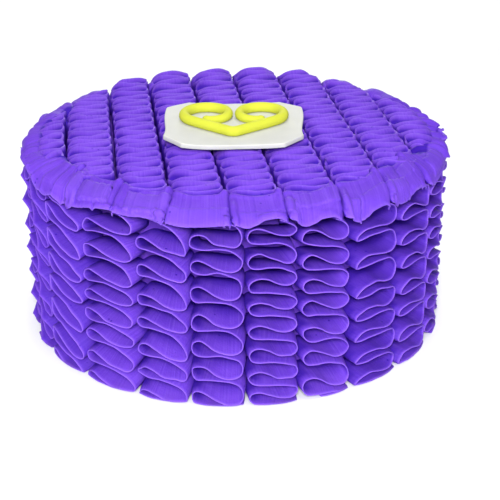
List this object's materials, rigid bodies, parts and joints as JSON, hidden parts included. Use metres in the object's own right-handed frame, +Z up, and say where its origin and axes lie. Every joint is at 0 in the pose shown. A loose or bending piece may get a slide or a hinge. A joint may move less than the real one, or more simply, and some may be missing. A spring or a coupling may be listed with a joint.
{
  "type": "ruffle iced cake",
  "caption": "Uncut round cake under violet piped ruffle icing, with folds over the rim and a pale plaque carrying a yellow rope heart.",
  "frame": {"origin": "middle of the flat base, on the surface that the cake stands on", "axes": "+Z up; -Y is the front that the picture shows; the top rows run from front to back, turned 7.5 degrees anticlockwise about +Z from the Y axis"},
  "size_m": [0.2333, 0.2332, 0.1171],
  "materials": {
    "core_icing": "smooth icing under the ruffles, matte",
    "ruffle_icing": "piped buttercream, soft satin",
    "plaque_fondant": "rolled fondant, matte",
    "rope_fondant": "rolled fondant rope, matte"
  },
  "bodies": {
    "root": {"cake_core": "core_icing", "side_ruffle_01": "ruffle_icing", "side_ruffle_02": "ruffle_icing", "side_ruffle_03": "ruffle_icing", "side_ruffle_04": "ruffle_icing", "side_ruffle_05": "ruffle_icing", "side_ruffle_06": "ruffle_icing", "side_ruffle_07": "ruffle_icing", "side_ruffle_08": "ruffle_icing", "side_ruffle_09": "ruffle_icing", "side_ruffle_10": "ruffle_icing", "side_ruffle_11": "ruffle_icing", "side_ruffle_12": "ruffle_icing", "side_ruffle_13": "ruffle_icing", "side_ruffle_14": "ruffle_icing", "side_ruffle_15": "ruffle_icing", "side_ruffle_16": "ruffle_icing", "side_ruffle_17": "ruffle_icing", "side_ruffle_18": "ruffle_icing", "side_ruffle_19": "ruffle_icing", "side_ruffle_20": "ruffle_icing", "side_ruffle_21": "ruffle_icing", "side_ruffle_22": "ruffle_icing", "side_ruffle_23": "ruffle_icing", "side_ruffle_24": "ruffle_icing", "top_ruffle_01": "ruffle_icing", "top_ruffle_02": "ruffle_icing", "top_ruffle_03": "ruffle_icing", "top_ruffle_04": "ruffle_icing", "top_ruffle_05": "ruffle_icing", "top_ruffle_06": "ruffle_icing", "top_ruffle_07": "ruffle_icing", "top_ruffle_08": "ruffle_icing", "top_ruffle_09": "ruffle_icing", "rim_fold_01": "ruffle_icing", "rim_fold_02": "ruffle_icing", "rim_fold_03": "ruffle_icing", "rim_fold_04": "ruffle_icing", "rim_fold_05": "ruffle_icing", "rim_fold_06": "ruffle_icing", "rim_fold_07": "ruffle_icing", "rim_fold_08": "ruffle_icing", "rim_fold_09": "ruffle_icing", "rim_fold_10": "ruffle_icing", "rim_fold_11": "ruffle_icing", "rim_fold_12": "ruffle_icing", "rim_fold_13": "ruffle_icing", "rim_fold_14": "ruffle_icing", "rim_fold_15": "ruffle_icing", "rim_fold_16": "ruffle_icing", "rim_fold_17": "ruffle_icing", "rim_fold_18": "ruffle_icing", "rim_fold_19": "ruffle_icing", "rim_fold_20": "ruffle_icing", "rim_fold_21": "ruffle_icing", "rim_fold_22": "ruffle_icing", "plaque": "plaque_fondant", "rope_heart": "rope_fondant"}
  },
  "joints": []
}
